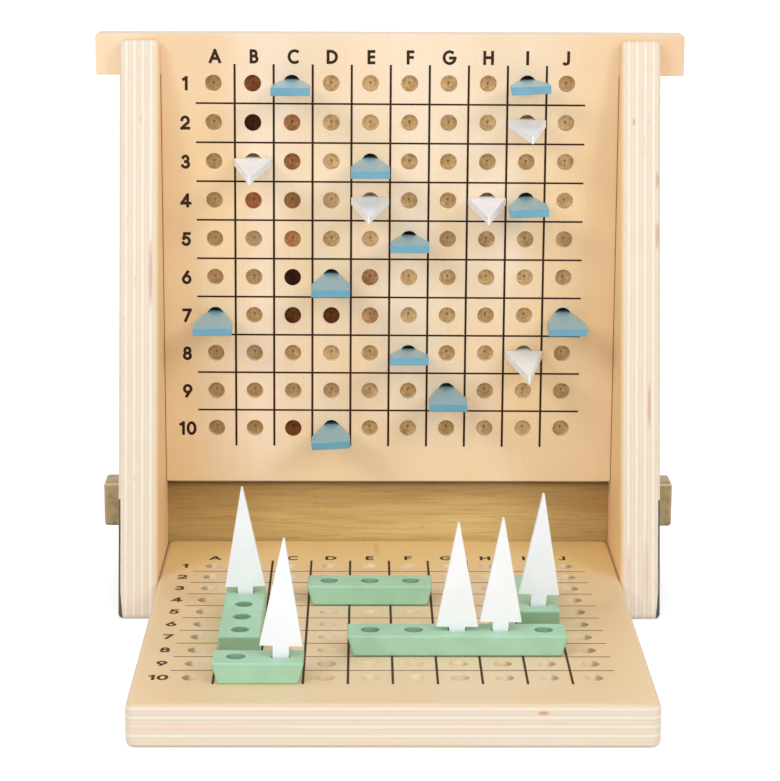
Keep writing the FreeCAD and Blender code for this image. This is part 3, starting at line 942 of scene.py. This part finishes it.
def lathe(build, board, cell, profile):
    """Turned shape round a socket's axis, on which its profile starts and ends."""
    across, along = board.cell(cell)
    circles = []
    for radius, rise in profile:
        if radius == 0:
            circles.append([build.verts.new(board.at(across, along, rise))])
            continue
        circle = []
        for step in range(LATHE_STEPS):
            angle = 2 * math.pi * step / LATHE_STEPS
            spot_across = across + radius * math.cos(angle)
            spot_along = along + radius * math.sin(angle)
            circle.append(build.verts.new(board.at(spot_across, spot_along, rise)))
        circles.append(circle)
    for outer, inner in zip(circles, circles[1:]):
        for step in range(LATHE_STEPS):
            after = (step + 1) % LATHE_STEPS
            if len(inner) == 1:
                build.faces.new((outer[step], outer[after], inner[0]))
            elif len(outer) == 1:
                build.faces.new((outer[0], inner[after], inner[step]))
            else:
                build.faces.new((outer[step], outer[after], inner[after], inner[step]))


def peg_shade_layers(board, cells):
    """Thin layer of painted shade on the walls and floors of sockets that hold pegs."""
    def fill(build):
        rim = SOCKET_RADIUS - FLOOR_CLEAR
        inner = rim - LINING / 2
        bottom = -SOCKET_DEPTH + FLOOR_CLEAR
        top = bottom + LINING
        wall = [(rim, bottom), (rim, -MOUTH_CLEAR), (inner, -MOUTH_CLEAR), (inner, top)]
        for cell in cells:
            lathe(build, board, cell, [(0, bottom)] + wall + [(0, top)])
    return fill


def socket_floors(board, cells, lined):
    """Drill-marked floors of sockets; lined ones also have a thin wall up to the mouth."""
    def fill(build):
        bottom = -SOCKET_DEPTH + FLOOR_CLEAR
        top = -SOCKET_DEPTH + FLOOR_RAISE
        rim = SOCKET_RADIUS - FLOOR_CLEAR
        inner = rim - LINING
        marked = [(inner, top), (PIT_RADIUS, top), (0, top - PIT_DEPTH)]
        wall = [(rim, -MOUTH_CLEAR), (inner, -MOUTH_CLEAR)] if lined else []
        for cell in cells:
            lathe(build, board, cell, [(0, bottom), (rim, bottom)] + wall + marked)
    return fill


def cells_of_pegs(start):
    """Cells of the target board that hold a peg, from the nodes' names."""
    return [node.rsplit("_", 1)[1].upper() for node in frame["nodes"] if node.startswith(start)]


def cells_under_ships():
    """Cells of the ocean board that a ship covers, from the ships' boxes."""
    ships = [node for node in frame["nodes"] if node.startswith("ship_") and not node.endswith("_pins")]
    covered = []
    for cell in EVERY_CELL:
        spot = ocean.at(*ocean.cell(cell), 0)
        for node in ships:
            low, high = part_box(node)
            if low.x < spot.x < high.x and low.y < spot.y < high.y:
                covered.append(cell)
    return covered


def dress(node, material):
    """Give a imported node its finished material."""
    mesh = frame["nodes"][node].data
    mesh.materials.clear()
    mesh.materials.append(material)


def dress_nodes():
    """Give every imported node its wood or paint."""
    for node, side in (("left_side_panel", -1), ("right_side_panel", 1)):
        dress(node, panel_plywood(node, side))
    dress("target_board", board_plywood("target_board", target, "Y", "Z", *TARGET_VENEER, TARGET_FACE_LIGHT_AND_SHADE))
    dress("ocean_board", board_plywood(
        "ocean_board", ocean, "Z", "X", *OCEAN_VENEER, OCEAN_FACE_BOUNCE_AND_STREAK, OCEAN_EDGE_MARKS, OCEAN_WALL_SHADE,
    ))
    dress("cross_rail", rail_hardwood())
    green = {"X": green_stain("green_row_stain", "X"), "Y": green_stain("green_column_stain", "Y")}
    dowel = dowel_beech()
    white = white_paint()
    blue = blue_paint()
    for node in frame["nodes"]:
        if node.endswith("_pins"):
            dress(node, dowel)
        elif node.startswith("ship_"):
            low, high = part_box(node)
            dress(node, green["X" if high.x - low.x > high.y - low.y else "Y"])
        elif node.startswith(("sail_", "hit_sail_")):
            dress(node, white)
        elif node.startswith("miss_marker_"):
            dress(node, blue)


def mark_boards():
    """Burn the grid, letters and numbers into both boards."""
    for name, board in (("target", target), ("ocean", ocean)):
        burnt = burnt_mark(f"{name}_burnt_mark", *BURNT[name])
        letters = [(letter, step * PITCH, -LETTER_RISE[name]) for step, letter in enumerate(COLUMNS)]
        numbers = [(str(step + 1), -NUMBER_X[name], step * PITCH) for step in range(CELLS)]
        for what, fill in (
            ("grid", grid_lines(board, LEVEL_LINE[name])),
            ("letters", words(board, letters)),
            ("numbers", words(board, numbers)),
        ):
            new_piece(f"{name}_{what}", fill, burnt, board.body)


def mark_sockets():
    """Line the sockets that hold pegs with painted shade and the browned ones in their colour, and floor the
    free ones.
    """
    taken = []
    for start, (light, deep) in PEG_SOCKET_SHADE.items():
        cells = cells_of_pegs(start)
        taken += cells
        material = socket_wood(f"{start}shade_lining", target, light, deep)
        shade_linings = peg_shade_layers(target, cells)
        new_piece(f"target_{start}linings", shade_linings, material, target.body)
    for name, (cells, light, deep) in BROWNED.items():
        taken += cells
        material = socket_wood(f"{name}_socket", target, light, deep)
        floors = socket_floors(target, cells, True)
        new_piece(f"target_{name}_sockets", floors, material, target.body)
    for name, board, hidden in (("target", target, taken), ("ocean", ocean, cells_under_ships())):
        free = [cell for cell in EVERY_CELL if cell not in hidden]
        material = socket_wood(f"{name}_socket_wood", board, *SOCKET_FLOOR, shaded_towards_a=True)
        floors = socket_floors(board, free, False)
        new_piece(f"{name}_socket_floors", floors, material, board.body)


def place_camera():
    """Camera at the place and turn that the two grids were fitted with."""
    pitch = math.radians(CAMERA_PITCH)
    yaw = math.radians(CAMERA_YAW)
    roll = math.radians(CAMERA_ROLL)
    ahead = Vector((math.sin(yaw) * math.cos(pitch), math.cos(yaw) * math.cos(pitch), -math.sin(pitch)))
    level = Vector((math.cos(yaw), -math.sin(yaw), 0))
    down = ahead.cross(level)
    right = level * math.cos(roll) + down * math.sin(roll)
    up = level * math.sin(roll) - down * math.cos(roll)
    data = bpy.data.cameras.new("camera")
    data.sensor_fit = "HORIZONTAL"
    data.sensor_width = SENSOR
    data.lens = FOCAL_PIXELS * SENSOR / IMAGE_WIDTH
    camera = bpy.data.objects.new("camera", data)
    turn = Matrix((right, up, -ahead)).transposed().to_4x4()
    camera.matrix_world = Matrix.Translation(CAMERA_PLACE) @ turn
    bpy.context.scene.collection.objects.link(camera)
    bpy.context.scene.camera = camera


def seen_directly(tree):
    """1 for rays from the camera, or by way of a mirror or glass."""
    path = tree.nodes.new("ShaderNodeLightPath")
    seen = path.outputs["Is Camera Ray"]
    for kind in ("Is Glossy Ray", "Is Transmission Ray"):
        either = tree.nodes.new("ShaderNodeMath")
        either.operation = "MAXIMUM"
        tree.links.new(seen, either.inputs[0])
        tree.links.new(path.outputs[kind], either.inputs[1])
        seen = either.outputs[0]
    return seen


def lay_floor():
    """White floor that keeps the object's shadow and glows into the white background further out."""
    material = bpy.data.materials.new("floor_white")
    material.use_nodes = True
    tree = material.node_tree
    link = tree.links.new
    tree.nodes.clear()
    output = tree.nodes.new("ShaderNodeOutputMaterial")
    matt = tree.nodes.new("ShaderNodeBsdfDiffuse")
    matt.inputs["Color"].default_value = FLOOR_TONE
    glow = tree.nodes.new("ShaderNodeEmission")
    place = tree.nodes.new("ShaderNodeTexCoord")
    reach = tree.nodes.new("ShaderNodeVectorMath")
    reach.operation = "LENGTH"
    link(place.outputs["Object"], reach.inputs[0])
    fade = tree.nodes.new("ShaderNodeMapRange")
    fade.interpolation_type = "SMOOTHSTEP"
    fade.inputs["From Min"].default_value = GLOW_FADE[0]
    fade.inputs["From Max"].default_value = GLOW_FADE[1]
    fade.inputs["To Min"].default_value = FLOOR_GLOW
    fade.inputs["To Max"].default_value = 1.0
    link(reach.outputs["Value"], fade.inputs["Value"])
    strength = tree.nodes.new("ShaderNodeMath")
    strength.operation = "MULTIPLY"
    link(seen_directly(tree), strength.inputs[0])
    link(fade.outputs["Result"], strength.inputs[1])
    link(strength.outputs[0], glow.inputs["Strength"])
    surface = tree.nodes.new("ShaderNodeAddShader")
    link(matt.outputs[0], surface.inputs[0])
    link(glow.outputs[0], surface.inputs[1])
    link(surface.outputs[0], output.inputs["Surface"])
    mesh = bpy.data.meshes.new("floor")
    build = bmesh.new()
    bmesh.ops.create_circle(build, cap_ends=True, segments=FLOOR_SIDES, radius=FLOOR_RADIUS)
    bmesh.ops.translate(build, verts=build.verts, vec=(0, 0, cad_box[0].z - FLOOR_DROP))
    build.to_mesh(mesh)
    build.free()
    mesh.materials.append(material)
    floor = bpy.data.objects.new("floor", mesh)
    bpy.context.scene.collection.objects.link(floor)


def lamp(name, place, size, power):
    """Round softbox turned to the object."""
    data = bpy.data.lights.new(name, "AREA")
    data.shape = "DISK"
    data.size = size
    data.energy = power
    light = bpy.data.objects.new(name, data)
    light.location = place
    light.rotation_mode = "QUATERNION"
    light.rotation_quaternion = (LIGHT_AIM - place).to_track_quat("-Z", "Y")
    bpy.context.scene.collection.objects.link(light)


def light_scene():
    """Even white surroundings, and softboxes in front, above, behind and to both sides."""
    world = bpy.data.worlds.new("studio")
    world.use_nodes = True
    tree = world.node_tree
    link = tree.links.new
    tree.nodes.clear()
    output = tree.nodes.new("ShaderNodeOutputWorld")
    soft = tree.nodes.new("ShaderNodeBackground")
    soft.inputs["Color"].default_value = WHITE
    soft.inputs["Strength"].default_value = SKY_LIGHT
    white = tree.nodes.new("ShaderNodeBackground")
    white.inputs["Color"].default_value = WHITE
    choose = tree.nodes.new("ShaderNodeMixShader")
    link(seen_directly(tree), choose.inputs[0])
    link(soft.outputs[0], choose.inputs[1])
    link(white.outputs[0], choose.inputs[2])
    link(choose.outputs[0], output.inputs["Surface"])
    bpy.context.scene.world = world
    for name, (place, size, power) in SOFTBOXES.items():
        lamp(name, place, size, power)


dress_nodes()
mark_boards()
mark_sockets()
place_camera()
lay_floor()
light_scene()
bpy.context.scene.view_settings.view_transform = "Standard"
